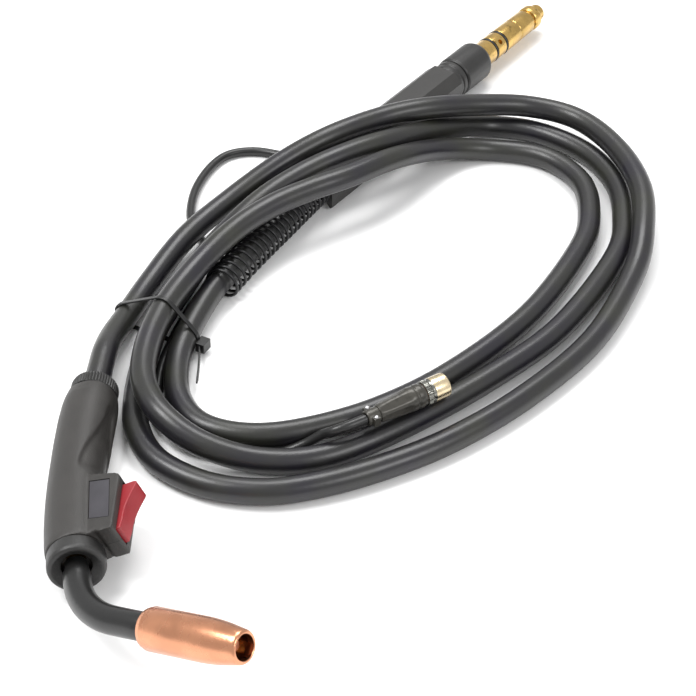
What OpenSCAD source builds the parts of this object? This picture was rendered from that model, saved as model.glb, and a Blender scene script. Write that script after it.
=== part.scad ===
// Gas-cooled MIG welding torch with its cable looped and tied.
// Millimetres, +Z up. The torch head is centred on the origin and rests on Z = 0.
// Head frame: origin at the front face of the handle, -Y forward, +X towards the trigger.

/* [Head] */
// radius of the handle's long curve
handle_bend = 440; // [300:10:900]
// length of the handle's curved part
curve_len = 100; // [80:1:120]
// length of the handle's straight rear part
tail_len = 10; // [6:1:40]
// radius of the handle
handle_r = 13.8; // [12:0.1:17]
// radius of the handle at its rear ring
handle_rear_r = 11.9; // [10:0.1:14]
// half width of the trigger box
box_half = 9.3; // [8:0.1:12]

/* [Neck and nozzle] */
// bend of the neck in degrees
neck_bend = 50; // [30:1:70]
// radius of the neck's bend
neck_bend_r = 45; // [35:1:60]
// straight length of the neck ahead of the bend
neck_out = 20.7; // [10:0.1:30]
// outer radius of the neck's sleeve
sleeve_r = 6.3; // [5.5:0.1:8]
// length of the nozzle
nozzle_len = 52; // [45:1:70]
// outer radius of the nozzle
nozzle_r = 9.5; // [8:0.1:12]
// radius of the nozzle's mouth
mouth_r = 5.5; // [5:0.1:7]
// radius of the wire bore in the contact tip
wire_r = 0.5; // [0.4:0.05:0.8]

/* [Cables] */
// outer radius of the main cable
cable_r = 6.5; // [5:0.1:8]
// outer radius of the control lead
lead_r = 2.6; // [2:0.1:4]
// coil radius of the support spring, to the wire's centre
spring_r = 8.9; // [8:0.1:11]
// wire radius of the support spring
spring_wire_r = 0.8; // [0.5:0.1:1.2]

/* [Machine end] */
// radius of the gas and power pin
pin_r = 7.95; // [7:0.05:9]
// outer radius of the hand nut
nut_r = 12.4; // [11:0.1:16]
// half width of the rear housing
rear_half = 13; // [11:0.1:18]

/* [Hidden] */
$fn = 48;

// the whole torch's shift, which centres the head on the origin
shift = [0, 8, 0];
head_at = [-32.1, -22.99, 17.24];
pivot = [20.8, 4.6];

// the main cable's centre line, from the handle to the machine end
cable_path = [
    [-36.4, 95.1, 14.1], [-35.5, 111.1, 14.2], [-34.6, 123, 13.9], [-32.8, 138, 11],
    [-27, 160, 7.8],
    [-18, 186, 8], [-1, 220, 13], [22, 250, 17], [50, 275, 25], [78, 293, 31.5],
    [108, 313, 31.5], [135, 324, 31], [166, 337, 25], [198, 343, 20], [226, 332, 18],
    [245, 301, 18], [254, 262, 18], [251, 224, 15], [242, 192, 9], [216, 141, 6.5],
    [178, 97, 6.5], [138, 64, 6.5], [100, 43, 6.5], [66, 31, 6.5], [42, 29, 6.5],
    [18, 35, 6.5], [-4, 51, 6.5], [-15, 74, 6.5], [-17, 98, 6.5], [-15.5, 122, 6.5],
    [-11, 150, 7.8], [-2, 176, 8.5], [14, 206, 15.5], [38, 236, 24.5], [62, 258, 29],
    [88, 276, 31.2], [113, 294, 28.5], [142, 323, 17], [172, 341, 7.5], [202, 336, 6.5],
    [229, 314, 6.5], [243, 283, 6.5], [244, 248, 6.5], [235, 211, 6.5], [200, 151, 6.5],
    [160, 110, 6.5], [114, 73.5, 6.5], [77, 52.5, 6.5], [46, 48.5, 8], [18, 54, 14],
    [-2, 69, 19.9], [-12, 92, 20], [-13, 118, 20], [-7, 148, 20.4], [6, 178, 22],
    [26, 206, 27.5], [46, 225, 30.5], [66, 239, 31.5], [89, 253, 31.5], [115, 277, 27.5],
    [142, 306, 14], [172, 317, 6.5], [204, 309, 6.5], [223, 284, 6.5], [225, 252, 6.5],
    [216, 218, 6.5], [184, 161, 6.5], [142, 115, 6.5], [104, 87, 6.5], [68, 71.5, 6.5],
    [40, 67.5, 6.5], [17, 75, 6.5], [4.5, 94, 6.5], [1.5, 120, 6.5], [5, 143, 7.8],
    [15, 174, 9.5], [24, 193, 10.2], [37, 215, 11], [53, 241, 12], [69, 269.5, 12.5],
    [82, 287.5, 12.5], [95, 306, 12.5]];

// the control lead's centre line, from the housing to its own plug
lead_path = [
    [72, 300, 6.5], [62, 308, 5], [48, 317, 2.7], [32, 321, 2.7], [17, 317, 2.7], [7, 303, 2.7],
    [0, 280, 2.7], [-1, 256, 2.7], [4, 238, 2.7], [12, 220, 2.7], [15, 205, 2.7],
    [12, 192, 2.7], [5, 172, 2.7], [-2, 148, 2.7], [-7, 122, 2.7], [-7, 98, 2.7],
    [-3, 80, 2.7], [8, 67, 2.7], [24, 60, 2.7], [44, 58, 2.7], [57, 59.5, 3],
    [68, 61.3, 7], [76, 61, 13], [82, 59, 17.5], [89, 60.5, 19.4], [97, 65, 19.6]];

// the support spring's centre line, from its free end into the housing
spring_path = [
    [20, 184, 9.9], [34.5, 210.5, 10.9], [49, 234.5, 11.8], [62.5, 257.5, 12.4],
    [75, 278, 12.5]];

// the tie's frame, and the strands it holds as distance across and height
tie_at = [-11, 151, 0];
tie_left = [-18.3, 7.8];
tie_right = [17.9, 7.8];
tie_top = [4.9, 20.4];

function catmull(a, b, c, d, t) =
    ((2 * b) + (c - a) * t + (2 * a - 5 * b + 4 * c - d) * t * t
     + (3 * b - a - 3 * c + d) * t * t * t) / 2;
function at(list, i) = list[max(0, min(len(list) - 1, i))];
function smooth(list, n) = concat(
    [for (i = [0 : len(list) - 2]) for (k = [0 : n - 1])
        catmull(at(list, i - 1), at(list, i), at(list, i + 1), at(list, i + 2), k / n)],
    [list[len(list) - 1]]);
function unit(v) = v / norm(v);
function along(list, i) = unit(at(list, i + 1) - at(list, i - 1));
function level(list, i) = unit(cross([0, 0, 1], along(list, i)));
function outward(list, i, a) = cos(a) * level(list, i)
    + sin(a) * cross(along(list, i), level(list, i));
function arc(c, r, a0, a1, n) =
    [for (i = [0 : n]) c + r * [cos(a0 + (a1 - a0) * i / n), sin(a0 + (a1 - a0) * i / n)]];
function tie_outline(r) = concat(arc(tie_left, r, 122, 270, 8), arc(tie_right, r, 270, 407, 8),
    arc(tie_top, r, 47, 122, 5));

// a round tube's outside swept along points, with a direction across it at each
module swept(list, across, r, sides) {
    n = len(list);
    rings = [for (i = [0 : n - 1])
        let (t = along(list, i), s = unit(cross(across[i], t)), u = cross(t, s))
        for (k = [0 : sides - 1])
            list[i] + r * cos(360 * k / sides) * s + r * sin(360 * k / sides) * u];
    skin = [for (i = [0 : n - 2]) for (k = [0 : sides - 1])
        let (a = i * sides + k, b = i * sides + (k + 1) % sides)
        each [[a, a + sides, b + sides], [a, b + sides, b]]];
    start = [for (k = [0 : sides - 1]) [n * sides, k, (k + 1) % sides]];
    finish = [for (k = [0 : sides - 1])
        [n * sides + 1, (n - 1) * sides + (k + 1) % sides, (n - 1) * sides + k]];
    polyhedron(concat(rings, [list[0], list[n - 1]]), concat(skin, start, finish));
}

module cord_tube(list, r, sides) {
    swept(list, [for (p = list) [0, 0, 1]], r, sides);
}

// a spring round a centre line, twelve points to each turn
module coil(list, coil_r, wire_r, sides) {
    swept([for (i = [0 : len(list) - 1]) list[i] + coil_r * outward(list, i, 30 * i)],
        [for (i = [0 : len(list) - 1]) outward(list, i, 30 * i)], wire_r, sides);
}

module head() {
    translate(shift + head_at) rotate([0, 0, 9]) rotate([-4.5, 0, 0]) rotate([0, -23, 0]) children();
}

// +Z forward out of the handle's front face
module front() {
    rotate([90, 0, 0]) children();
}

// +Z along the nozzle, from its rear edge
module torch_end() {
    translate([neck_bend_r * (1 - cos(neck_bend)), -15.4 - neck_bend_r * sin(neck_bend), 0])
        rotate([0, 0, neck_bend]) rotate([90, 0, 0]) translate([0, 0, neck_out]) children();
}

// +Z backwards from the end of the handle's curve
module tail_frame() {
    a = curve_len / handle_bend * 180 / PI;
    translate([handle_bend * (1 - cos(a)), handle_bend * sin(a), 0])
        rotate([0, 0, -a]) rotate([-90, 0, 0]) children();
}

// a rod of radius r along the handle's curve, between two lengths
module curve_rod(s0, s1, r) {
    a0 = s0 / handle_bend * 180 / PI;
    a1 = s1 / handle_bend * 180 / PI;
    translate([handle_bend, 0, 0]) rotate([0, 0, 180 - a1])
        rotate_extrude(angle = a1 - a0, $fn = 360) translate([handle_bend, 0]) circle(r, $fn = 48);
}

module ring_2d(r, bore) {
    difference() {
        circle(r);
        circle(bore);
    }
}

// a pipe along the handle's whole curve from s0, and on by extra behind it
module long_pipe(s0, extra, r, bore) {
    a0 = s0 / handle_bend * 180 / PI;
    a1 = curve_len / handle_bend * 180 / PI;
    translate([handle_bend, 0, 0]) rotate([0, 0, 180 - a1])
        rotate_extrude(angle = a1 - a0, $fn = 360) translate([handle_bend, 0]) ring_2d(r, bore);
    tail_frame() linear_extrude(extra) ring_2d(r, bore);
}

// a pipe round the neck's bend, and on past it to z1
module bend_pipe(z1, r, bore) {
    translate([neck_bend_r, -15.4, 0]) rotate([0, 0, 180])
        rotate_extrude(angle = neck_bend, $fn = 180) translate([neck_bend_r, 0])
            ring_2d(r, bore);
    torch_end() translate([0, 0, -neck_out]) linear_extrude(neck_out + z1) ring_2d(r, bore);
}

// a pipe straight forward from y0 behind the handle's front face to the bend
module front_pipe(y0, r, bore) {
    translate([0, y0, 0]) front() linear_extrude(y0 + 15.4) ring_2d(r, bore);
}

// a turned part, from its profile of radius and height
module turned(profile) {
    rotate_extrude($fn = 72) polygon(profile);
}

// the machine end, +X towards the plug's tip
module rear() {
    translate(shift + [172, 413.4, 12.5]) rotate([0, 0, 54.4]) children();
}

module rear_axis() {
    rear() rotate([0, 90, 0]) children();
}

// the control plug, +Z from its clamp towards its open end
module control_axis() {
    translate(shift + [97, 65, 19.6]) rotate([0, 0, 33]) rotate([0, 90, 0]) children();
}

module nozzle() {
    color([0.62, 0.42, 0.33]) head() torch_end() turned([[7.65, 0], [8.6, 0], [nozzle_r, 2.5],
        [nozzle_r, 31], [9.3, 36], [8.7, 41], [7.9, 46], [7.3, 50], [6.9, 51.6],
        [6.4, nozzle_len], [mouth_r, nozzle_len], [mouth_r, nozzle_len - 5], [7.65, 33]]);
}

module nozzle_insulator() {
    color([0.8, 0.75, 0.65]) head() torch_end()
        turned([[6, 0.1], [7.6, 0.1], [7.6, 16], [6, 16]]);
}

module gas_diffuser() {
    color([0.75, 0.6, 0.3]) head() torch_end() difference() {
        translate([0, 0, 0.1]) cylinder(h = 29.9, r = 5.98);
        cylinder(h = 10, r = 4.52);
        translate([0, 0, 9]) cylinder(h = 12, r = 3);
        translate([0, 0, 20]) cylinder(h = 11, r = 2.52);
        for (a = [0, 90]) rotate([90, 0, a]) translate([0, 18.6, 0])
            cylinder(h = 20, r = 0.9, center = true);
    }
}

module contact_tip() {
    color([0.72, 0.45, 0.3]) head() torch_end() turned([[wire_r, 21], [2.5, 21], [2.5, 30.02],
        [3, 30.02], [3, nozzle_len - 9], [2.2, nozzle_len - 5], [wire_r, nozzle_len - 5]]);
}

module neck_tube() {
    color([0.75, 0.6, 0.3]) head() {
        front_pipe(30, 4.5, 2);
        bend_pipe(9.9, 4.5, 2);
    }
}

module neck_sleeve() {
    color([0.06, 0.06, 0.06]) head() {
        front() rotate_extrude() polygon([[4.52, 5.1], [5.2, 5.1], [5.2, 7], [sleeve_r, 13],
            [sleeve_r, 15.4], [4.52, 15.4]]);
        bend_pipe(0, sleeve_r, 4.52);
    }
}

module wire_liner() {
    color([0.55, 0.55, 0.58]) head() {
        front_pipe(30, 1.9, 1);
        bend_pipe(20.9, 1.9, 1);
        long_pipe(31.5, tail_len + 7.9, 1.9, 1);
    }
}

module front_ring() {
    color([0.08, 0.08, 0.08]) head() front() turned([[9.55, 0.3], [13.1, 0.3], [13.4, 0.8],
        [13.4, 7.6], [13, 8.7], [12.2, 9], [11, 9], [7, 6.4], [7, 5.4], [9.55, 5.4]]);
}

// the handle and its trigger box, solid
module handle_solid() {
    curve_rod(0, curve_len, handle_r);
    tail_frame() cylinder(h = tail_len, r1 = handle_r, r2 = handle_rear_r);
    translate([0, 0, -box_half]) linear_extrude(2 * box_half)
        polygon([[6, 41], [16, 38.5], [27, 32.5], [28, 30.5], [22, -2.5], [14.4, -1], [14.4, 0],
            [6, 0]]);
    translate([0, 2, 0]) front() cylinder(h = 7, r = 9.5);
    tail_frame() translate([0, 0, -4]) cylinder(h = tail_len + 9, r = 8.6);
}

// what is hollow in the handle
module handle_hollow() {
    curve_rod(8, 44, 10.5);
    curve_rod(48, 97, 10.5);
    curve_rod(43, 49, 6.45);
    translate([0, 8.5, 0]) front() cylinder(h = 14, r = 4.52);
    curve_rod(96, curve_len, 5.02);
    tail_frame() cylinder(h = tail_len + 6, r = 5.02);
    translate([10, 1.2, -5.3]) cube([30, 28.1, 10.6]);
    translate([15.2, -0.8, -5.3]) cube([20, 3, 10.6]);
    translate([pivot[0], pivot[1], 0]) cylinder(h = 15, r = 1.5, center = true);
}

module handle_half(post) {
    difference() {
        handle_solid();
        handle_hollow();
    }
    translate([6, 10, post]) cube([6, 16, 5.7]);
}

module handle_near() {
    color([0.1, 0.1, 0.1]) head() difference() {
        handle_half(3.2);
        translate([-60, -60, -60]) cube([160, 260, 60]);
        translate([0, 0, 8.7]) linear_extrude(5)
            polygon([[11.4, 9.5], [21.6, 5], [23.4, 30.5], [13, 35]]);
    }
}

module handle_far() {
    color([0.1, 0.1, 0.1]) head() difference() {
        handle_half(-8.9);
        translate([-60, -60, 0]) cube([160, 260, 60]);
    }
}

module label_plate() {
    color([0.25, 0.25, 0.25]) head() translate([0, 0, 8.7]) linear_extrude(0.4)
        polygon([[11.7, 9.9], [21.3, 5.6], [23, 30.2], [13.3, 34.5]]);
}

module trigger() {
    color([0.75, 0.08, 0.06]) head() difference() {
        translate([0, 0, -5]) linear_extrude(10) difference() {
            polygon([[17.5, 0.1], [24.2, 0.1], [26, 5.5], [26.8, 9.5], [28.2, 13.5], [30.1, 17.5],
                [32.2, 21.3], [34.5, 25], [34.3, 26.6], [33, 27.5], [24.5, 28.5], [19, 28],
                [19, 18.2], [16, 18.2], [16, 15.8], [19, 15.8], [19, 8]]);
            translate(pivot) circle(1.55);
        }
        translate([18, 20, -4]) cube([3.4, 6.4, 8]);
    }
}

module trigger_pin() {
    color([0.6, 0.6, 0.62]) head() translate([pivot[0], pivot[1], 0])
        cylinder(h = 14.8, r = 1.49, center = true);
}

module trigger_spring() {
    color([0.6, 0.6, 0.62]) head()
        coil(smooth([[12.4, 23.2, 0], [18.1, 23.2, 0]], 54), 2.1, 0.3, 6);
}

module switch_body() {
    color([0.12, 0.12, 0.14]) head() difference() {
        translate([6, 10, -3.2]) cube([6, 16, 6.4]);
        translate([7.8, 17, 0]) rotate([0, 90, 0]) cylinder(h = 5, r = 1.25);
    }
}

module switch_plunger() {
    color([0.7, 0.2, 0.15]) head() translate([9.8, 17, 0]) rotate([0, 90, 0])
        cylinder(h = 5.9, r = 1.2);
}

module switch_wires() {
    color([0.7, 0.1, 0.1]) head() for (z = [-1.5, 1.5])
        translate([8.5, 26, z]) rotate([-90, 0, 0]) cylinder(h = 12, r = 0.6, $fn = 24);
}

module cable_ferrule() {
    color([0.75, 0.6, 0.3]) head() difference() {
        curve_rod(31.5, 66, 6.4);
        curve_rod(31, 67, 1.95);
        curve_rod(58, 67, 4.98);
    }
}

module cable_core() {
    color([0.6, 0.35, 0.25]) head() long_pipe(58.1, tail_len + 5, 4.95, 1.95);
}

module rear_collar() {
    color([0.08, 0.08, 0.08]) head() tail_frame() translate([0, 0, tail_len]) intersection() {
        difference() {
            linear_extrude(8.2) polygon([for (k = [0 : 71])
                (11.9 - 0.45 * (k % 2)) * [cos(5 * k), sin(5 * k)]]);
            translate([0, 0, -1]) cylinder(h = 6.4, r = 8.65);
            cylinder(h = 10, r = 7.3);
        }
        turned([[0, 0.3], [11.9, 0.3], [11.9, 6], [11.4, 7.4], [10.3, 8.2], [0, 8.2]]);
    }
}

module cable_grommet() {
    color([0.05, 0.05, 0.05]) head() tail_frame() translate([0, 0, tail_len]) difference() {
        translate([0, 0, 5.05]) cylinder(h = 3.4, r = 7.1);
        translate([0, 0, 5]) cylinder(h = 2.99, r = 1.95);
    }
}

module main_cable() {
    color([0.05, 0.05, 0.05]) translate(shift) cord_tube(cable_path, cable_r, 12);
}

module cable_tie() {
    color([0.04, 0.04, 0.04]) translate(shift) {
        translate(tie_at) rotate([0, 0, -28]) rotate([90, 0, 0]) {
            linear_extrude(2.6, center = true) difference() {
                polygon(tie_outline(7.7));
                polygon(tie_outline(6.7));
            }
            translate([25, 2, -3.5]) cube([5.5, 6, 7]);
        }
        translate([11.5, 108, 3]) cube([1.2, 28, 4]);
    }
}

module support_spring() {
    color([0.12, 0.12, 0.13]) translate(shift) coil(smooth(spring_path, 75), spring_r, spring_wire_r, 6);
}

// the housing, solid
module rear_solid() {
    rear() difference() {
        translate([-177, 0, 0]) rotate([90, 0, 90]) linear_extrude(135.5)
            polygon([[-rear_half, -9], [-rear_half + 3, -11.9], [rear_half - 3, -11.9],
                [rear_half, -9], [rear_half, 6], [rear_half - 6, 11.5], [-rear_half + 6, 11.5],
                [-rear_half, 6]]);
        translate([-177, -rear_half, -13]) rotate([0, 0, -33]) translate([-60, -20, 0])
            cube([60, 80, 30]);
    }
}

// what is hollow in the housing
module rear_hollow() {
    rear_axis() translate([0, 0, -200]) cylinder(h = 148, r = 10.4);
    rear_axis() translate([0, 0, -60]) cylinder(h = 30, r = 7.01);
    for (x = [-140, -100, -60]) rear() translate([x, rear_half - 1, 0]) rotate([-90, 0, 0])
        cylinder(h = 5, r = 2);
}

module rear_shell_near() {
    color([0.09, 0.09, 0.09]) difference() {
        rear_solid();
        rear_hollow();
        rear() translate([-250, 0, -30]) cube([260, 60, 60]);
    }
}

module rear_shell_far() {
    color([0.09, 0.09, 0.09]) difference() {
        rear_solid();
        rear_hollow();
        rear() translate([-250, -60, -30]) cube([260, 60, 60]);
    }
}

module rear_shell_screws() {
    color([0.5, 0.5, 0.52]) for (x = [-140, -100, -60]) rear()
        translate([x, rear_half - 1, 0]) rotate([-90, 0, 0]) difference() {
            cylinder(h = 0.8, r = 1.95);
            translate([-1.4, -0.25, 0.4]) cube([2.8, 0.5, 1]);
            translate([-0.25, -1.4, 0.4]) cube([0.5, 2.8, 1]);
        }
}

module rear_ferrule() {
    color([0.75, 0.6, 0.3]) rear_axis() turned([[1.2, -132], [7.6, -132], [7.6, -108],
        [7, -107], [7, -100], [1.2, -100]]);
}

module rear_cuff() {
    color([0.08, 0.08, 0.08]) rear_axis() turned([[7.05, -41.4], [11.2, -41.4], [11.8, -40.6],
        [11.8, -32.4], [11.2, -31.6], [7.05, -31.6]]);
}

module rear_nut() {
    color([0.07, 0.07, 0.07]) rear_axis() intersection() {
        difference() {
            translate([0, 0, -31.2]) cylinder(h = 30.7, r = 12.75, $fn = 12);
            translate([0, 0, -32]) cylinder(h = 20, r = 7.05);
            translate([0, 0, -22]) cylinder(h = 30, r = 9);
        }
        turned([[0, -31.2], [11.6, -31.2], [nut_r, -30], [nut_r, -6.5], [11, -4], [0, -4]]);
    }
}

module plug_body() {
    color([0.78, 0.62, 0.3]) difference() {
        rear_axis() turned([[1.2, -100], [6, -100], [6, -62], [7, -62], [7, -21.5], [8.6, -21.5],
            [8.6, -16], [pin_r, -16], [pin_r, 8.2], [6.6, 8.2], [6.6, 10.8], [pin_r, 10.8],
            [pin_r, 19.7], [6.6, 19.7], [6.6, 22.3], [pin_r, 22.3], [pin_r, 38], [7.3, 38],
            [7.3, 39], [7.7, 39], [7.7, 54], [6.6, 54], [6.6, 57], [1.2, 57]]);
        rear() translate([15, 0, 0]) rotate([45, 0, 0]) cylinder(h = 12, r = 1.7);
    }
}

module plug_orings() {
    color([0.03, 0.03, 0.03]) rear_axis() for (z = [9.5, 21]) translate([0, 0, z])
        rotate_extrude($fn = 72) translate([7.42, 0]) circle(0.78, $fn = 24);
}

module plug_tip() {
    color([0.72, 0.57, 0.3]) rear_axis() turned([[1.2, 57], [7.2, 57], [7.9, 58], [7.9, 62.6],
        [7, 63.8], [5.6, 64], [5.6, 69.5], [4.8, 71], [3.2, 71], [3.2, 66], [1.2, 66]]);
}

module lead_grommet() {
    color([0.04, 0.04, 0.04]) rear() translate([-150.4, rear_half, -6]) rotate([-90, 0, 0])
        turned([[0, 0], [4.2, 0], [4.2, 0.8], [3.4, 2.2], [0, 2.2]]);
}

module control_lead() {
    color([0.05, 0.05, 0.05]) translate(shift) cord_tube(smooth(lead_path, 2), lead_r, 8);
}

module control_clamp() {
    color([0.5, 0.5, 0.5]) control_axis() {
        turned([[0, 0.1], [3.6, 0.1], [4, 0.8], [4, 6.9], [0, 6.9]]);
        translate([-2.6, -5.4, 1.8]) cube([5.2, 10.8, 3.4]);
    }
}

module control_plug() {
    color([0.35, 0.35, 0.34]) control_axis() turned([[0, 6.9], [4.4, 6.9], [4.9, 9], [6, 24],
        [6.2, 25], [6.2, 31], [5.9, 32], [5.9, 33], [0, 33]]);
}

module control_ring() {
    color([0.72, 0.66, 0.5]) control_axis() turned([[5.56, 33.3], [6.3, 33.3], [6.3, 36.4],
        [5.9, 36.8], [5.9, 37.4], [6.3, 37.8], [6.3, 45.5], [6, 46.5], [5.56, 46.5]]);
}

module control_insert() {
    color([0.25, 0.16, 0.1]) control_axis() difference() {
        translate([0, 0, 33]) cylinder(h = 8, r = 5.5);
        translate([-0.6, 4.6, 36]) cube([1.2, 2, 6]);
    }
}

module control_pins() {
    color([0.8, 0.66, 0.35]) control_axis() for (a = [45 : 90 : 315]) rotate([0, 0, a])
        translate([2.8, 0, 41]) cylinder(h = 4.5, r = 0.7, $fn = 24);
}

nozzle();
nozzle_insulator();
gas_diffuser();
contact_tip();
neck_tube();
neck_sleeve();
wire_liner();
front_ring();
handle_near();
handle_far();
label_plate();
trigger();
trigger_pin();
trigger_spring();
switch_body();
switch_plunger();
switch_wires();
cable_ferrule();
cable_core();
rear_collar();
cable_grommet();
main_cable();
cable_tie();
support_spring();
rear_shell_near();
rear_shell_far();
rear_shell_screws();
rear_ferrule();
rear_cuff();
rear_nut();
plug_body();
plug_orings();
plug_tip();
lead_grommet();
control_lead();
control_clamp();
control_plug();
control_ring();
control_insert();
control_pins();
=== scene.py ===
"""Looks of the welding torch: studio, cords, detailed pieces and materials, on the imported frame."""
import math

import bmesh
import bpy
from mathutils import Matrix, Vector


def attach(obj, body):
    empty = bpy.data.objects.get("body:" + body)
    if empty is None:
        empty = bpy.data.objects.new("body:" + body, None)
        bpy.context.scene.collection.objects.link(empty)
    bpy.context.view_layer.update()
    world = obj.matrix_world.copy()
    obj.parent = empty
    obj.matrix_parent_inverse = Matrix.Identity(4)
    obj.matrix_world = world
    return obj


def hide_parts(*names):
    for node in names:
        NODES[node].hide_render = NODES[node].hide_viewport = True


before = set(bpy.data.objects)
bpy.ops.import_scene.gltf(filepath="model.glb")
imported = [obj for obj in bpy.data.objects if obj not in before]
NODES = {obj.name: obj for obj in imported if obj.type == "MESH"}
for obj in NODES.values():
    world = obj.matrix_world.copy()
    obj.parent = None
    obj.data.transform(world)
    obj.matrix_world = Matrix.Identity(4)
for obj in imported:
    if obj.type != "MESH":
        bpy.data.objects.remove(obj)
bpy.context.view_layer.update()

MM = 0.001
SHIFT = (0, 8, 0)


# ---------------------------------------------------------------- camera

CAMERA_LENS = 92
CAMERA_SENSOR = 36
CAMERA_TILT = 40
CAMERA_DISTANCE = 0.926
CAMERA_TARGET = (88.5, 149.5, 0)


def make_camera():
    data = bpy.data.cameras.new("camera")
    data.lens = CAMERA_LENS
    data.sensor_width = CAMERA_SENSOR
    data.clip_start = 0.01
    cam = bpy.data.objects.new("camera", data)
    bpy.context.scene.collection.objects.link(cam)
    tilt = math.radians(CAMERA_TILT)
    target = Vector(CAMERA_TARGET) * MM
    cam.location = target + Vector((0, -math.cos(tilt), math.sin(tilt))) * CAMERA_DISTANCE
    cam.rotation_euler = (math.radians(90) - tilt, 0, 0)
    bpy.context.scene.camera = cam


make_camera()


# ---------------------------------------------------------------- frames, in millimetres

def turn(axis, degrees):
    return Matrix.Rotation(math.radians(degrees), 4, axis)


def move(*v):
    return Matrix.Translation(Vector(v))


BEND = 440.0
CURVE = 100.0
TAIL_LEN = 10.0
NECK_R = 45.0
NECK_OUT = 20.7
SLEEVE_R = 6.3
HEAD = move(*SHIFT) @ move(-32.1, -22.99, 17.24) @ turn("Z", 9) @ turn("X", -4.5) @ turn("Y", -23)
FRONT = HEAD @ turn("X", 90)
NOZZLE = (HEAD @ move(NECK_R * (1 - math.cos(math.radians(50))),
                      -15.4 - NECK_R * math.sin(math.radians(50)), 0)
          @ turn("Z", 50) @ turn("X", 90) @ move(0, 0, NECK_OUT))
CURVE_TURN = CURVE / BEND
TAIL = (HEAD @ move(BEND * (1 - math.cos(CURVE_TURN)), BEND * math.sin(CURVE_TURN), 0)
        @ turn("Z", -math.degrees(CURVE_TURN)) @ turn("X", -90))
COLLAR = TAIL @ move(0, 0, TAIL_LEN)
REAR = move(*SHIFT) @ move(172, 413.4, 12.5) @ turn("Z", 54.4)
REAR_AXIS = REAR @ turn("Y", 90)
CONTROL = move(*SHIFT) @ move(97, 65, 19.6) @ turn("Z", 33) @ turn("Y", 90)
TIE = move(*SHIFT) @ move(-11, 151, 0) @ turn("Z", -28) @ turn("X", 90)


# ---------------------------------------------------------------- materials

def socket(node, name, value):
    if name in node.inputs:
        node.inputs[name].default_value = value


def material(name, color, rough, metal=0.0, bump=0.15, scale=900.0, mottle=0.12,
             rough_vary=0.08, coat=0.0, sheen=0.0, dark_reflection=0.0, sheen_tints=None):
    """A procedural finish: slow changes of colour and roughness, with a fine raised grain; optional
    darkened spots paint dark reflections into the colour, and an optional pair of tints paints a
    sheen into it.
    """
    m = bpy.data.materials.new(name)
    m.use_nodes = True
    tree = m.node_tree
    n, link = tree.nodes, tree.links.new
    b = n["Principled BSDF"]
    socket(b, "Metallic", metal)
    socket(b, "Coat Weight", coat)
    socket(b, "Coat Roughness", 0.25)
    socket(b, "Sheen Weight", sheen)
    socket(b, "Sheen Roughness", 0.4)
    coord = n.new("ShaderNodeTexCoord")
    place = n.new("ShaderNodeMapping")
    link(coord.outputs["Object"], place.inputs["Vector"])
    slow = n.new("ShaderNodeTexNoise")
    slow.inputs["Scale"].default_value = scale * 0.08
    slow.inputs["Detail"].default_value = 5
    link(place.outputs["Vector"], slow.inputs["Vector"])
    ramp = n.new("ShaderNodeValToRGB")
    dark = [c * (1 - mottle) for c in color]
    light = [min(1, c * (1 + mottle)) for c in color]
    # The given pair of tints paints a coloured sheen into the base colour.
    if sheen_tints:
        dark, light = sheen_tints
    ramp.color_ramp.elements[0].position = 0.3
    ramp.color_ramp.elements[0].color = (*dark, 1)
    ramp.color_ramp.elements[1].position = 0.7
    ramp.color_ramp.elements[1].color = (*light, 1)
    link(slow.outputs["Fac"], ramp.inputs["Fac"])
    tint = ramp.outputs["Color"]
    # Painted reflection: noise spots darken the colour to stand in for dark reflections on the metal.
    if dark_reflection:
        spots = n.new("ShaderNodeTexNoise")
        spots.inputs["Scale"].default_value = scale * 0.35
        spots.inputs["Detail"].default_value = 8
        link(coord.outputs["Object"], spots.inputs["Vector"])
        mask = n.new("ShaderNodeMapRange")
        mask.inputs["From Min"].default_value = 0.56
        mask.inputs["From Max"].default_value = 0.72
        mask.inputs["To Max"].default_value = dark_reflection
        link(spots.outputs["Fac"], mask.inputs["Value"])
        mix = n.new("ShaderNodeMix")
        mix.data_type = "RGBA"
        link(mask.outputs["Result"], mix.inputs["Factor"])
        link(tint, mix.inputs["A"])
        mix.inputs["B"].default_value = (*[c * 0.35 for c in color], 1)
        tint = mix.outputs["Result"]
    link(tint, b.inputs["Base Color"])
    gloss = n.new("ShaderNodeMapRange")
    gloss.inputs["To Min"].default_value = max(0.02, rough - rough_vary)
    gloss.inputs["To Max"].default_value = min(1, rough + rough_vary)
    link(slow.outputs["Fac"], gloss.inputs["Value"])
    link(gloss.outputs["Result"], b.inputs["Roughness"])
    fine = n.new("ShaderNodeTexNoise")
    fine.inputs["Scale"].default_value = scale
    fine.inputs["Detail"].default_value = 3
    link(place.outputs["Vector"], fine.inputs["Vector"])
    raised = n.new("ShaderNodeBump")
    raised.inputs["Strength"].default_value = bump
    raised.inputs["Distance"].default_value = 0.0003
    link(fine.outputs["Fac"], raised.inputs["Height"])
    link(raised.outputs["Normal"], b.inputs["Normal"])
    return m


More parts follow.
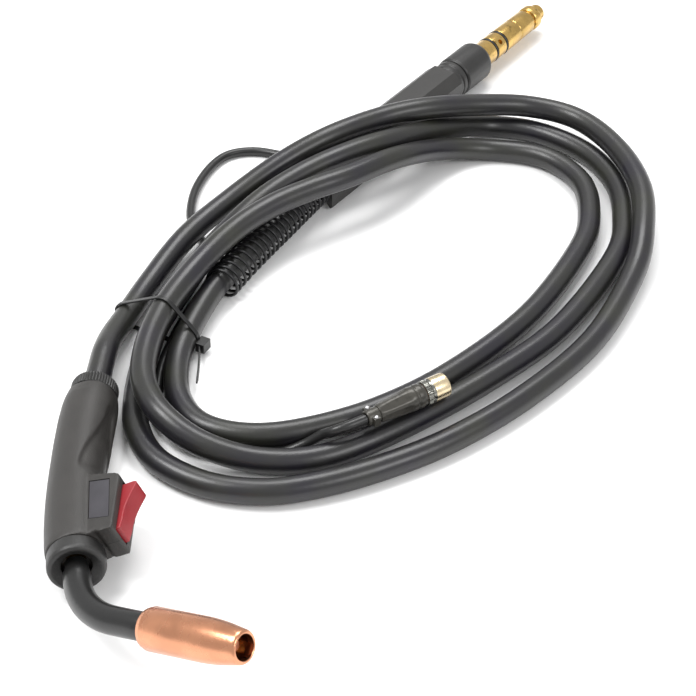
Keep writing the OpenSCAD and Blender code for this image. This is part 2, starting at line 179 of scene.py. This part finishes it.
def lathe_finish(m, matrix, pitch, strength):
    """Adds fine turning marks along an axis to a metal."""
    n, link = m.node_tree.nodes, m.node_tree.links.new
    coord = n.new("ShaderNodeTexCoord")
    place = n.new("ShaderNodeMapping")
    inverse = (Matrix.Scale(MM, 4) @ matrix @ Matrix.Scale(1 / MM, 4)).inverted()
    place.inputs["Location"].default_value = inverse.to_translation()
    place.inputs["Rotation"].default_value = inverse.to_euler()
    link(coord.outputs["Object"], place.inputs["Vector"])
    split = n.new("ShaderNodeSeparateXYZ")
    link(place.outputs["Vector"], split.inputs["Vector"])
    marks = n.new("ShaderNodeTexNoise")
    marks.noise_dimensions = "1D"
    marks.inputs["Scale"].default_value = pitch
    marks.inputs["Detail"].default_value = 6
    link(split.outputs["Z"], marks.inputs["W"])
    raised = n.new("ShaderNodeBump")
    raised.inputs["Strength"].default_value = strength
    raised.inputs["Distance"].default_value = 0.0002
    link(marks.outputs["Fac"], raised.inputs["Height"])
    old = n["Principled BSDF"].inputs["Normal"].links[0].from_socket
    link(old, raised.inputs["Normal"])
    link(raised.outputs["Normal"], n["Principled BSDF"].inputs["Normal"])
    return m


MAT = {
    "shell": material("shell_plastic", (0.026, 0.024, 0.022), 0.5, bump=0.5, scale=1600,
                      mottle=0.14),
    "housing": material("housing_plastic", (0.022, 0.021, 0.02), 0.46, bump=0.4, scale=1300),
    "nut": material("nut_plastic", (0.016, 0.0155, 0.015), 0.42, bump=0.3, scale=1100),
    "ring": material("ring_plastic", (0.017, 0.0165, 0.016), 0.46, bump=0.4, scale=1400),
    "sleeve": material("sleeve_rubber", (0.008, 0.008, 0.008), 0.3, bump=0.12, scale=700,
                       coat=0.15),
    # Painted sheen: the purplish and greenish tints stand in for the coloured sheen of the cable's
    # highlights.
    "cable": material("cable_rubber", (0.012, 0.012, 0.012), 0.36, bump=0.22, scale=520,
                      rough_vary=0.09, coat=0.1,
                      sheen_tints=((0.010, 0.009, 0.014), (0.015, 0.0155, 0.011))),
    "lead": material("lead_rubber", (0.01, 0.01, 0.01), 0.36, bump=0.15, scale=900),
    "tie": material("tie_nylon", (0.006, 0.006, 0.006), 0.4, bump=0.08, scale=900),
    "spring": material("spring_wire", (0.012, 0.012, 0.013), 0.34, metal=0.3, bump=0.1, scale=1500),
    "copper": material("satin_copper", (0.66, 0.31, 0.18), 0.27, metal=1.0, bump=0.07, scale=1200,
                       mottle=0.1, rough_vary=0.07),
    "tip": material("tip_copper", (0.5, 0.24, 0.15), 0.35, metal=1.0, bump=0.1, scale=1200),
    # Painted reflection: the darkened spots stand in for dark reflections on the polished brass.
    "brass": material("turned_brass", (0.56, 0.37, 0.12), 0.24, metal=1.0, bump=0.1, scale=900,
                      mottle=0.2, dark_reflection=0.7),
    # Painted highlight: this pale copy of the plated ring paints its bright lit end.
    "pale": material("plated_ring", (0.72, 0.6, 0.4), 0.25, metal=1.0, bump=0.1, scale=900,
                     mottle=0.15, dark_reflection=0.4),
    # Painted reflection: this darker copy of the plated ring, with strong mottle and darkened spots,
    # paints reflections of the dark cords.
    "chrome": material("chrome_dark_reflection", (0.22, 0.22, 0.2), 0.22, metal=1.0, bump=0.4, scale=600,
                       mottle=0.6, dark_reflection=1.0),
    # Painted reflection: the plated plug body gets a dark colour and darkened spots for the dark
    # cords it reflects.
    "grey": material("plug_metal", (0.05, 0.047, 0.04), 0.32, metal=0.35, bump=0.3, scale=700,
                     mottle=0.35, dark_reflection=0.6),
    "steel": material("screw_steel", (0.45, 0.45, 0.46), 0.35, metal=1.0, bump=0.1, scale=1500),
    "red": material("trigger_red", (0.27, 0.014, 0.02), 0.4, bump=0.2, scale=1000, mottle=0.08),
    "label": material("label_plate", (0.04, 0.038, 0.045), 0.4, bump=0.08, scale=1600),
    "dark": material("inner_dark", (0.01, 0.01, 0.01), 0.7, bump=0.1, scale=900),
    "cream": material("cream_moulding", (0.6, 0.55, 0.42), 0.6, bump=0.2, scale=900),
    "brown": material("brown_insulator", (0.1, 0.055, 0.03), 0.5, bump=0.15, scale=900),
    "wire": material("wire_red", (0.35, 0.02, 0.02), 0.45, bump=0.05, scale=900),
}
lathe_finish(MAT["copper"], NOZZLE, 2600, 0.12)
lathe_finish(MAT["brass"], REAR_AXIS, 3200, 0.1)


# ---------------------------------------------------------------- mesh helpers

def put(name, mesh, mat, body, nodes=(), bevel=0.0, segments=2, sharp=35):
    mesh.materials.clear()
    mesh.materials.append(MAT[mat])
    mesh.shade_smooth()
    mesh.set_sharp_from_angle(angle=math.radians(sharp))
    obj = bpy.data.objects.new(name, mesh)
    bpy.context.scene.collection.objects.link(obj)
    if bevel:
        soften(obj, bevel, segments)
    if nodes:
        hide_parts(*nodes)
    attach(obj, body)
    return obj


def soften(obj, width, segments=2, angle=28):
    mod = obj.modifiers.new("soft_edges", "BEVEL")
    mod.width = width * MM
    mod.segments = segments
    mod.limit_method = "ANGLE"
    mod.angle_limit = math.radians(angle)
    mod.harden_normals = True


def mesh_from(name, points, faces, matrix):
    mesh = bpy.data.meshes.new(name)
    mesh.from_pydata([(matrix @ Vector(p)) * MM for p in points], [], faces)
    b = bmesh.new()
    b.from_mesh(mesh)
    bmesh.ops.remove_doubles(b, verts=b.verts, dist=1e-7)
    bmesh.ops.recalc_face_normals(b, faces=b.faces)
    b.to_mesh(mesh)
    b.free()
    return mesh


def turned(name, profile, matrix, sides=96, shape=None):
    """A closed profile of (radius, height) spun about Z; shape(angle, radius, height) alters it."""
    points, faces = [], []
    n = len(profile)
    for i in range(sides):
        a = 2 * math.pi * i / sides
        for r, z in profile:
            q = shape(i, r, z) if shape else r
            points.append((q * math.cos(a), q * math.sin(a), z))
    for i in range(sides):
        j = (i + 1) % sides
        for k in range(n):
            m = (k + 1) % n
            faces.append((i * n + k, j * n + k, j * n + m, i * n + m))
    return mesh_from(name, points, faces, matrix)


def rounded(profile, radius, steps=3):
    """Rounds each corner of a closed profile by up to radius."""
    out = []
    n = len(profile)
    for i in range(n):
        p = Vector(profile[i])
        a = Vector(profile[i - 1]) - p
        b = Vector(profile[(i + 1) % n]) - p
        if a.length < 1e-6 or b.length < 1e-6 or a.angle(b) > 2.9:
            out.append(tuple(p))
            continue
        d = min(radius, a.length * 0.45, b.length * 0.45)
        s, e = p + a.normalized() * d, p + b.normalized() * d
        for k in range(steps + 1):
            t = k / steps
            out.append(tuple(s * (1 - t) ** 2 + p * 2 * t * (1 - t) + e * t * t))
    return out


def extruded(name, outline, low, high, matrix):
    n = len(outline)
    points = [(x, y, low) for x, y in outline] + [(x, y, high) for x, y in outline]
    faces = [tuple(range(n - 1, -1, -1)), tuple(range(n, 2 * n))]
    faces += [(i, (i + 1) % n, n + (i + 1) % n, n + i) for i in range(n)]
    return mesh_from(name, points, faces, matrix)


def block(name, low, high, matrix):
    (a, b, c), (d, e, f) = low, high
    return extruded(name, [(a, b), (d, b), (d, e), (a, e)], c, f, matrix)


def lofted(name, rings, matrix, closed=False):
    n, m = len(rings), len(rings[0])
    points = [p for r in rings for p in r]
    faces = []
    for i in range(n if closed else n - 1):
        j = (i + 1) % n
        for k in range(m):
            q = (k + 1) % m
            faces.append((i * m + k, i * m + q, j * m + q, j * m + k))
    if not closed:
        faces += [tuple(range(m - 1, -1, -1)), tuple(range((n - 1) * m, n * m))]
    return mesh_from(name, points, faces, matrix)


def joined(name, *meshes):
    b = bmesh.new()
    for m in meshes:
        b.from_mesh(m)
    mesh = bpy.data.meshes.new(name)
    b.to_mesh(mesh)
    b.free()
    return mesh


def applied(obj):
    """The object's mesh with its modifiers applied, and the object removed."""
    dg = bpy.context.evaluated_depsgraph_get()
    mesh = bpy.data.meshes.new_from_object(obj.evaluated_get(dg))
    bpy.data.objects.remove(obj)
    return mesh


def temporary(mesh):
    obj = bpy.data.objects.new("temporary", mesh)
    bpy.context.scene.collection.objects.link(obj)
    return obj


def smooth_path(points, n):
    out = []
    last = len(points) - 1
    v = [Vector(p) + Vector(SHIFT) for p in points]
    for i in range(last):
        a, b, c, d = v[max(0, i - 1)], v[i], v[i + 1], v[min(last, i + 2)]
        for k in range(n):
            t = k / n
            out.append((2 * b + (c - a) * t + (2 * a - 5 * b + 4 * c - d) * t * t
                        + (3 * b - a - 3 * c + d) * t ** 3) / 2)
    out.append(v[-1])
    return out


def tube_curve(name, points, radius, mat, body, nodes, sides=6):
    data = bpy.data.curves.new(name, "CURVE")
    data.dimensions = "3D"
    data.bevel_depth = radius * MM
    data.bevel_resolution = sides
    data.use_fill_caps = True
    line = data.splines.new("POLY")
    line.points.add(len(points) - 1)
    for p, q in zip(line.points, points):
        p.co = (*(Vector(q) * MM), 1)
    data.materials.append(MAT[mat])
    obj = bpy.data.objects.new(name, data)
    bpy.context.scene.collection.objects.link(obj)
    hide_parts(*nodes)
    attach(obj, body)
    return obj


# ---------------------------------------------------------------- cords

CABLE = [
    (-36.4, 95.1, 14.1), (-35.5, 111.1, 14.2), (-34.6, 123, 13.9), (-32.8, 138, 11),
    (-27, 160, 7.8),
    (-18, 186, 8), (-1, 220, 13), (22, 250, 17), (50, 275, 25), (78, 293, 31.5),
    (108, 313, 31.5), (135, 324, 31), (166, 337, 25), (198, 343, 20), (226, 332, 18),
    (245, 301, 18), (254, 262, 18), (251, 224, 15), (242, 192, 9), (216, 141, 6.5),
    (178, 97, 6.5), (138, 64, 6.5), (100, 43, 6.5), (66, 31, 6.5), (42, 29, 6.5),
    (18, 35, 6.5), (-4, 51, 6.5), (-15, 74, 6.5), (-17, 98, 6.5), (-15.5, 122, 6.5),
    (-11, 150, 7.8), (-2, 176, 8.5), (14, 206, 15.5), (38, 236, 24.5), (62, 258, 29),
    (88, 276, 31.2), (113, 294, 28.5), (142, 323, 17), (172, 341, 7.5), (202, 336, 6.5),
    (229, 314, 6.5), (243, 283, 6.5), (244, 248, 6.5), (235, 211, 6.5), (200, 151, 6.5),
    (160, 110, 6.5), (114, 73.5, 6.5), (77, 52.5, 6.5), (46, 48.5, 8), (18, 54, 14),
    (-2, 69, 19.9), (-12, 92, 20), (-13, 118, 20), (-7, 148, 20.4), (6, 178, 22),
    (26, 206, 27.5), (46, 225, 30.5), (66, 239, 31.5), (89, 253, 31.5), (115, 277, 27.5),
    (142, 306, 14), (172, 317, 6.5), (204, 309, 6.5), (223, 284, 6.5), (225, 252, 6.5),
    (216, 218, 6.5), (184, 161, 6.5), (142, 115, 6.5), (104, 87, 6.5), (68, 71.5, 6.5),
    (40, 67.5, 6.5), (17, 75, 6.5), (4.5, 94, 6.5), (1.5, 120, 6.5), (5, 143, 7.8),
    (15, 174, 9.5), (24, 193, 10.2), (37, 215, 11), (53, 241, 12), (69, 269.5, 12.5),
    (82, 287.5, 12.5), (95, 306, 12.5),
]
LEAD = [
    (72, 300, 6.5), (62, 308, 5), (48, 317, 2.7), (32, 321, 2.7), (17, 317, 2.7), (7, 303, 2.7),
    (0, 280, 2.7), (-1, 256, 2.7), (4, 238, 2.7), (12, 220, 2.7), (15, 205, 2.7),
    (12, 192, 2.7), (5, 172, 2.7), (-2, 148, 2.7), (-7, 122, 2.7), (-7, 98, 2.7),
    (-3, 80, 2.7), (8, 67, 2.7), (24, 60, 2.7), (44, 58, 2.7), (57, 59.5, 3),
    (68, 61.3, 7), (76, 61, 13), (82, 59, 17.5), (89, 60.5, 19.4), (97, 65, 19.6),
]
SPRING = [
    (20, 184, 9.9), (34.5, 210.5, 10.9), (49, 234.5, 11.8), (62.5, 257.5, 12.4),
    (75, 278, 12.5),
]

cable_line = smooth_path(CABLE, 8)
lead_line = smooth_path(LEAD, 8)
cable = tube_curve("cable_skin", cable_line, 6.5, "cable", "torch", ["main_cable"], 8)
lead = tube_curve("lead_skin", lead_line, 2.6, "lead", "torch", ["control_lead"], 4)


# ---------------------------------------------------------------- head

def handle_axis(s):
    """Centre and heading of the handle's curve, s behind its front face, in the head's frame."""
    a = min(s, CURVE) / BEND
    over = max(0, s - CURVE)
    d = Vector((math.sin(a), math.cos(a), 0))
    return Vector((BEND * (1 - math.cos(a)), BEND * math.sin(a), 0)) + d * over, d


def ease(t):
    t = max(0.0, min(1.0, t))
    return t * t * (3 - 2 * t)


def grip_ring(s, across, up, count=120):
    """One cross-section of the grip, with a shallow finger recess on the trigger's side."""
    c, d = handle_axis(s)
    side = Vector((d.y, -d.x, 0))
    edge = 62 - 46 * ease((s - 48) / 46)
    deep = 1.5 * ease((s - 44) / 8) * (1 - ease((s - 90) / 10))
    out = []
    for k in range(count):
        a = 2 * math.pi * k / count
        x, z = math.cos(a), math.sin(a)
        q = (abs(x) ** 2.3 + abs(z) ** 2.3) ** (-1 / 2.3)
        off = abs((math.degrees(a) + 180) % 360 - 180)
        q *= 1 - deep / 13.6 * ease((edge - off) / 7)
        out.append(c + side * (across * x * q) + Vector((0, 0, up * z * q)))
    return out


def make_handle():
    stations = [(0, 13.2, 13.2), (4, 13.6, 13.5), (16, 13.7, 13.6), (34, 13.6, 13.6),
                (48, 13.3, 13.6),
                (60, 13.1, 13.5), (74, 13.2, 13.5), (88, 13.4, 13.4), (98, 13.3, 13.3),
                (103, 13.0, 13.0), (107, 12.4, 12.4), (109.4, 12.0, 12.0), (110, 11.7, 11.7)]
    fine = []
    for (s0, w0, u0), (s1, w1, u1) in zip(stations, stations[1:]):
        n = max(1, round((s1 - s0) / 2))
        fine += [(s0 + (s1 - s0) * k / n, w0 + (w1 - w0) * k / n, u0 + (u1 - u0) * k / n)
                 for k in range(n)]
    grip = lofted("grip", [grip_ring(*s) for s in fine + stations[-1:]], HEAD)
    box = extruded("box", [(4, 44), (12, 40.5), (17, 38.2), (26.6, 32.8), (27.9, 31.2), (28, 29.6),
                           (23.4, 4), (22.4, -1.6), (21.6, -2.3), (15, -0.9), (14.4, 0.2), (4, 0.2)],
                   -9.3, 9.3, HEAD)
    body = temporary(joined("handle", grip, box))
    remesh = body.modifiers.new("one_skin", "REMESH")
    remesh.mode = "VOXEL"
    remesh.voxel_size = 0.0006
    relax = body.modifiers.new("fillet", "SMOOTH")
    relax.factor = 0.5
    relax.iterations = 6
    pocket = temporary(extruded("pocket", [(9.8, 1.2), (15.2, 1.2), (15.2, -0.8), (40, -0.8),
                                           (40, 29.4), (9.8, 29.4), (9.8, 18.8), (7.6, 18.8),
                                           (7.6, 15.2), (9.8, 15.2)], -5.3, 5.3, HEAD))
    recess = temporary(extruded("recess", [(11.4, 9.5), (21.6, 5), (23.4, 30.5), (13, 35)],
                                8.7, 14, HEAD))
    for cutter in (pocket, recess):
        cut = body.modifiers.new("cut", "BOOLEAN")
        cut.operation = "DIFFERENCE"
        cut.solver = "EXACT"
        cut.object = cutter
    whole = applied(body)
    for o in (pocket, recess):
        bpy.data.objects.remove(o)
    normal = (HEAD.to_3x3() @ Vector((0, 0, 1))).normalized()
    for name, node, sign in (("grip_near", "handle_near", 1), ("grip_far", "handle_far", -1)):
        b = bmesh.new()
        b.from_mesh(whole)
        origin = (HEAD @ Vector((0, 0, 0.06 * sign))) * MM
        cut = bmesh.ops.bisect_plane(b, geom=b.verts[:] + b.edges[:] + b.faces[:], plane_co=origin,
                                     plane_no=normal * sign, clear_inner=True)
        edges = [e for e in cut["geom_cut"] if isinstance(e, bmesh.types.BMEdge)]
        bmesh.ops.triangle_fill(b, edges=edges, use_beauty=True)
        half = bpy.data.meshes.new(name)
        b.to_mesh(half)
        b.free()
        put(name, half, "shell", "torch", [node], sharp=40)


def neck_ring(centre, heading, radius, count=40):
    side = Vector((-heading.y, heading.x, 0))
    return [centre + side * radius * math.cos(2 * math.pi * k / count)
            + Vector((0, 0, radius * math.sin(2 * math.pi * k / count))) for k in range(count)]


def make_neck():
    rings = []
    for y, r in ((5.1, 5.0), (5.3, 5.2), (7, 5.25), (9, 5.5), (11, 5.95), (13, 6.25), (14.4, 6.3)):
        rings.append(neck_ring(Vector((0, -y, 0)), Vector((0, -1, 0)), r))
    for k in range(33):
        a = math.radians(50 * k / 32)
        c = Vector((NECK_R * (1 - math.cos(a)), -15.4 - NECK_R * math.sin(a), 0))
        rings.append(neck_ring(c, Vector((math.sin(a), -math.cos(a), 0)), SLEEVE_R))
    end = math.radians(50)
    d = Vector((math.sin(end), -math.cos(end), 0))
    for z in (5, 12, 19.6, 20.4):
        r = SLEEVE_R if z < 20 else 6.1
        rings.append(neck_ring(c + d * z, d, r))
    put("neck_skin", lofted("neck_skin", rings, HEAD), "sleeve", "torch", ["neck_sleeve"])


def make_nozzle():
    outer = [(7.65, 0.2), (7.85, 0), (8.5, 0), (8.75, 0.15), (9.35, 2.0), (9.5, 2.5), (9.5, 18),
             (9.5, 29), (9.48, 31), (9.4, 33.5), (9.22, 36.5), (8.95, 39.5), (8.6, 42.5),
             (8.15, 45.5), (7.7, 48.2), (7.4, 50), (7.15, 51), (6.75, 51.7), (6.3, 52), (5.8, 52),
             (5.55, 51.8), (5.5, 51.4), (5.5, 47), (5.7, 46.7), (7.5, 34), (7.65, 33)]
    put("nozzle_skin", turned("nozzle_skin", outer, NOZZLE), "copper", "nozzle", ["nozzle"])


def make_rings():
    ring = rounded([(9.55, 0.3), (13.2, 0.3), (13.35, 1.2), (13.4, 6.8), (12.9, 8.4), (11.9, 9.0),
                    (11.1, 9.0), (10.6, 8.6), (7.3, 6.4), (7.0, 6.2), (7.0, 5.4), (9.55, 5.4)],
                   0.45)
    put("front_ring_skin", turned("front_ring_skin", ring, FRONT), "ring", "front_ring",
        ["front_ring"], sharp=50)
    knurl = rounded([(8.65, 0.3), (11.6, 0.3), (11.9, 0.7), (11.9, 5.8), (11.5, 7.2), (10.7, 8.0),
                     (9.6, 8.2), (7.3, 8.2), (7.3, 5.4), (8.65, 5.4)], 0.3)

    def ribs(i, r, z):
        return r - (0.4 if i % 3 == 0 and r > 10.6 and z > 0.6 else 0.0)

    put("rear_collar_skin", turned("rear_collar_skin", knurl, COLLAR, 144, ribs), "ring",
        "rear_collar", ["rear_collar"], sharp=25)


def make_trigger():
    side = [(17.5, 0.3), (24.3, 0.2), (25.9, 5.2), (26.7, 9), (27.9, 13), (29.7, 17), (31.9, 21),
            (34.1, 24.6), (34.5, 25.8), (34, 26.9), (32.6, 27.4), (24.5, 28.4), (21.4, 28.2),
            (21.4, 20), (18.6, 20)]
    shape = extruded("trigger_skin", side, -4.95, 4.95, HEAD)
    put("trigger_skin", shape, "red", "trigger", ["trigger"], bevel=0.9, segments=4,
        sharp=30)


make_handle()
make_neck()
make_nozzle()
make_rings()
make_trigger()


# ---------------------------------------------------------------- spring and tie

def helix(points, radius, steps):
    out = []
    for i, p in enumerate(points):
        t = (points[min(i + 1, len(points) - 1)] - points[max(i - 1, 0)]).normalized()
        s = Vector((0, 0, 1)).cross(t).normalized()
        u = t.cross(s)
        a = 2 * math.pi * i / steps
        out.append(p + s * radius * math.cos(a) + u * radius * math.sin(a))
    return out


SPRING_OFFSET = Vector((0.9, -1.0, 0))
SPRING_WIRE_R = 0.85
spring_line = [p + SPRING_OFFSET for p in smooth_path(SPRING, 150)]
support = tube_curve("support_spring_coil", helix(spring_line, 8.9, 24), SPRING_WIRE_R,
                     "spring", "torch", ["support_spring"], 3)


def tie_outline(r, steps=14):
    out = []
    for (x, y), a0, a1 in (((-18.3, 7.8), 122, 270), ((17.9, 7.8), 270, 407),
                           ((4.9, 20.4), 47, 122)):
        for k in range(steps + 1):
            a = math.radians(a0 + (a1 - a0) * k / steps)
            out.append((x + r * math.cos(a), y + r * math.sin(a)))
    return out


def make_tie():
    inner, outer = tie_outline(6.75), tie_outline(7.68)
    n = len(inner)
    rings = [[(*outer[i], -1.3), (*outer[i], 1.3), (*inner[i], 1.3), (*inner[i], -1.3)]
             for i in range(n)]
    band = lofted("band", rings, TIE, closed=True)
    head = block("head", (24.9, 2.1, -3.4), (30.4, 7.9, 3.4), TIE)
    notch = block("notch", (26.2, 3.4, -3.9), (28.6, 6.6, -3.2), TIE)
    tail = []
    for k in range(29):
        y = 136 - k
        half = 1.9 if k < 25 else 1.9 - 0.35 * (k - 24)
        x = 11.9 + 0.55 * math.sin(k * 0.09)
        tail.append([(x - 0.5, y, 5 - half), (x + 0.5 - 0.25 * (k % 2), y, 5 - half),
                     (x + 0.5 - 0.25 * (k % 2), y, 5 + half), (x - 0.5, y, 5 + half)])
    free = lofted("free", tail, move(*SHIFT))
    put("tie_skin", joined("tie_skin", band, head, notch, free), "tie", "torch", ["cable_tie"],
        bevel=0.3, segments=2)


make_tie()


# ---------------------------------------------------------------- machine end

def make_plug():
    body = rounded([(1.2, -100), (6, -100), (6, -62), (7, -62), (7, -21.5), (8.6, -21.5),
                    (8.6, -16), (7.95, -16), (7.95, 8.2), (6.6, 8.2), (6.6, 10.8), (7.95, 10.8),
                    (7.95, 19.7), (6.6, 19.7), (6.6, 22.3), (7.95, 22.3), (7.95, 37.6), (7.4, 37.9),
                    (7.4, 38.9), (7.75, 39.2), (7.7, 54), (6.6, 54), (6.6, 57), (1.2, 57)], 0.25)
    plug = temporary(turned("plug", body, REAR_AXIS))
    hole = temporary(turned("hole", [(0.001, 5), (1.7, 5), (1.7, 12), (0.001, 12)],
                            REAR @ move(15, 0, 0) @ turn("X", 45), 32))
    cut = plug.modifiers.new("cut", "BOOLEAN")
    cut.operation = "DIFFERENCE"
    cut.solver = "EXACT"
    cut.object = hole
    mesh = applied(plug)
    bpy.data.objects.remove(hole)
    put("plug_skin", mesh, "brass", "torch", ["plug_body"], sharp=30)
    tip = rounded([(1.2, 57), (7.1, 57), (7.9, 58), (7.9, 62.6), (7, 63.8), (5.6, 64.1),
                   (5.6, 69.3),
                   (4.9, 70.8), (4.2, 71), (3.2, 70.6), (3.2, 66), (1.2, 66)], 0.3)

    def slots(i, r, z):
        return r - (0.5 if i % 24 in (0, 1) and 5 < r < 6 and z > 65 else 0.0)

    put("plug_tip_skin", turned("plug_tip_skin", tip, REAR_AXIS, 96, slots), "brass", "torch",
        ["plug_tip"], sharp=30)


def make_nut():
    def facets(i, r, z):
        a = (i % 8) / 8 * 2 * math.pi / 12 - math.pi / 12
        edge = 12.75 * math.cos(math.pi / 12) / math.cos(a)
        return min(r, edge) if r > 11.9 else r

    nut = rounded([(7.05, -31.2), (11.4, -31.2), (12.38, -30), (12.4, -6.7), (11.9, -5.5),
                   (11.0, -4.0), (9.6, -4.0), (9, -4.7), (9, -22), (7.05, -22)], 0.5)
    put("nut_skin", turned("nut_skin", nut, REAR_AXIS, 96, facets), "nut", "hand_nut", ["rear_nut"],
        sharp=22)
    cuff = rounded([(7.05, -41.4), (11, -41.4), (11.8, -40.7), (11.8, -37.2), (11.2, -36.8),
                    (11.2, -35.8), (11.8, -35.4), (11.8, -32.3), (11, -31.6), (7.05, -31.6)], 0.4)
    put("cuff_skin", turned("cuff_skin", cuff, REAR_AXIS), "nut", "torch", ["rear_cuff"])


make_plug()
make_nut()


# ---------------------------------------------------------------- control plug

def make_control():
    strap = joined(
        "strap",
        turned("strap_body", rounded([(2.62, 0.1), (3.6, 0.1), (4.0, 0.8), (4.0, 6.9), (2.62, 6.9)],
                                     0.3), CONTROL, 48),
        block("strap_bar", (-2.4, -5.4, 1.8), (2.4, 5.4, 5.2), CONTROL))
    put("clamp_skin", strap, "grey", "torch", ["control_clamp"], bevel=0.35)
    for side, y in (("a", -4.1), ("b", 4.1)):
        screw = turned("clamp_screw_" + side, rounded([(0.05, 0), (1.15, 0), (1.15, 0.5),
                                                       (0.7, 0.85), (0.05, 0.9)], 0.15),
                       CONTROL @ move(-2.4, y, 3.5) @ turn("Y", -90), 32)
        put("clamp_screw_" + side, screw, "steel", "torch")

    def flats(i, r, z):
        a = (i % 16) / 16 * 2 * math.pi / 6 - math.pi / 6
        edge = 5.85 * math.cos(math.pi / 12) / math.cos(a) * (0.78 + 0.22 * min(1, (z - 7) / 17))
        return min(r, edge) if 7.2 < z < 24.5 and r > 3 else r

    body = rounded([(0.05, 6.9), (4.3, 6.9), (4.5, 7.6), (4.9, 10), (5.3, 14), (5.7, 19), (6.0, 24),
                    (6.2, 25), (6.2, 27.4), (5.8, 27.8), (5.8, 28.6), (6.2, 29), (6.2, 31.2),
                    (5.9, 32), (5.9, 33), (0.05, 33)], 0.25)
    put("control_body_skin", turned("control_body_skin", body, CONTROL, 96, flats), "grey", "torch",
        ["control_plug"], sharp=24)

    def knurl(i, r, z):
        banded = r > 6.1 and (33.8 < z < 36.2 or 38.4 < z < 44.6)
        return r - (0.28 if i % 4 in (0, 1) and banded else 0)

    ring = rounded([(5.56, 33.3), (6.25, 33.3), (6.3, 33.9), (6.3, 36.1), (5.9, 36.6), (5.9, 37.6),
                    (6.3, 38.1), (6.3, 44.9), (6.2, 46.1), (5.95, 46.5), (5.56, 46.5)], 0.15)
    skin = put("control_ring_skin", turned("control_ring_skin", ring, CONTROL, 144, knurl), "pale",
               "control_ring", ["control_ring"], sharp=25)
    # Lit and shaded copies of one plated ring: faces before 38 mm get the dark chrome copy, painting
    # dark reflections, and the rest get the pale copy, painting a lit end.
    skin.data.materials.append(MAT["chrome"])
    back = CONTROL.inverted()
    for face in skin.data.polygons:
        if (back @ (face.center / MM)).z < 38:
            face.material_index = 1


make_control()


# ---------------------------------------------------------------- carried-over CAD nodes

def finish_node(name, mat, bevel=0.0, segments=2):
    obj = NODES[name]
    obj.data.materials.clear()
    obj.data.materials.append(MAT[mat])
    if bevel:
        soften(obj, bevel, segments, 35)


for node, mat, bevel in (
        ("nozzle_insulator", "cream", 0), ("gas_diffuser", "brass", 0), ("contact_tip", "tip", 0),
        ("neck_tube", "brass", 0), ("wire_liner", "steel", 0), ("label_plate", "label", 0.15),
        ("trigger_pin", "steel", 0), ("trigger_spring", "steel", 0), ("switch_body", "dark", 0.2),
        ("switch_plunger", "red", 0), ("switch_wires", "wire", 0), ("cable_ferrule", "brass", 0),
        ("cable_core", "tip", 0), ("cable_grommet", "cable", 0.3),
        ("rear_shell_near", "housing", 0.7), ("rear_shell_far", "housing", 0.7),
        ("rear_shell_screws", "steel", 0), ("rear_ferrule", "brass", 0), ("plug_orings", "lead", 0),
        ("lead_grommet", "lead", 0.2), ("control_insert", "brown", 0.15),
        ("control_pins", "brass", 0.1)):
    finish_node(node, mat, bevel)


# ---------------------------------------------------------------- studio

def studio():
    floor = bpy.data.meshes.new("floor")
    floor.from_pydata([(-4, -4, 0), (4, -4, 0), (4, 4, 0), (-4, 4, 0)], [], [(0, 1, 2, 3)])
    pale = bpy.data.materials.new("floor_pale")
    pale.use_nodes = True
    b = pale.node_tree.nodes["Principled BSDF"]
    b.inputs["Base Color"].default_value = (0.93, 0.93, 0.93, 1)
    b.inputs["Roughness"].default_value = 0.9
    floor.materials.append(pale)
    obj = bpy.data.objects.new("floor", floor)
    bpy.context.scene.collection.objects.link(obj)
    obj.location.z = -0.0002
    world = bpy.data.worlds.new("studio")
    bpy.context.scene.world = world
    world.use_nodes = True
    bpy.context.scene.view_settings.view_transform = "Standard"
    back = world.node_tree.nodes["Background"]
    back.inputs["Color"].default_value = (1, 1, 1, 1)
    back.inputs["Strength"].default_value = 0.75
    for name, place, size, power in (("key", (-0.6, 0.1, 1.2), 0.5, 13),
                                     ("fill", (0.9, -0.6, 0.9), 0.5, 6),
                                     ("top", (0.2, 0.9, 1.3), 0.7, 12)):
        light = bpy.data.lights.new(name, "AREA")
        light.size = size
        light.energy = power
        lamp = bpy.data.objects.new(name, light)
        bpy.context.scene.collection.objects.link(lamp)
        lamp.location = place
        aim = Vector((0.09, 0.14, 0)) - Vector(place)
        lamp.rotation_euler = aim.to_track_quat("-Z", "Y").to_euler()


studio()
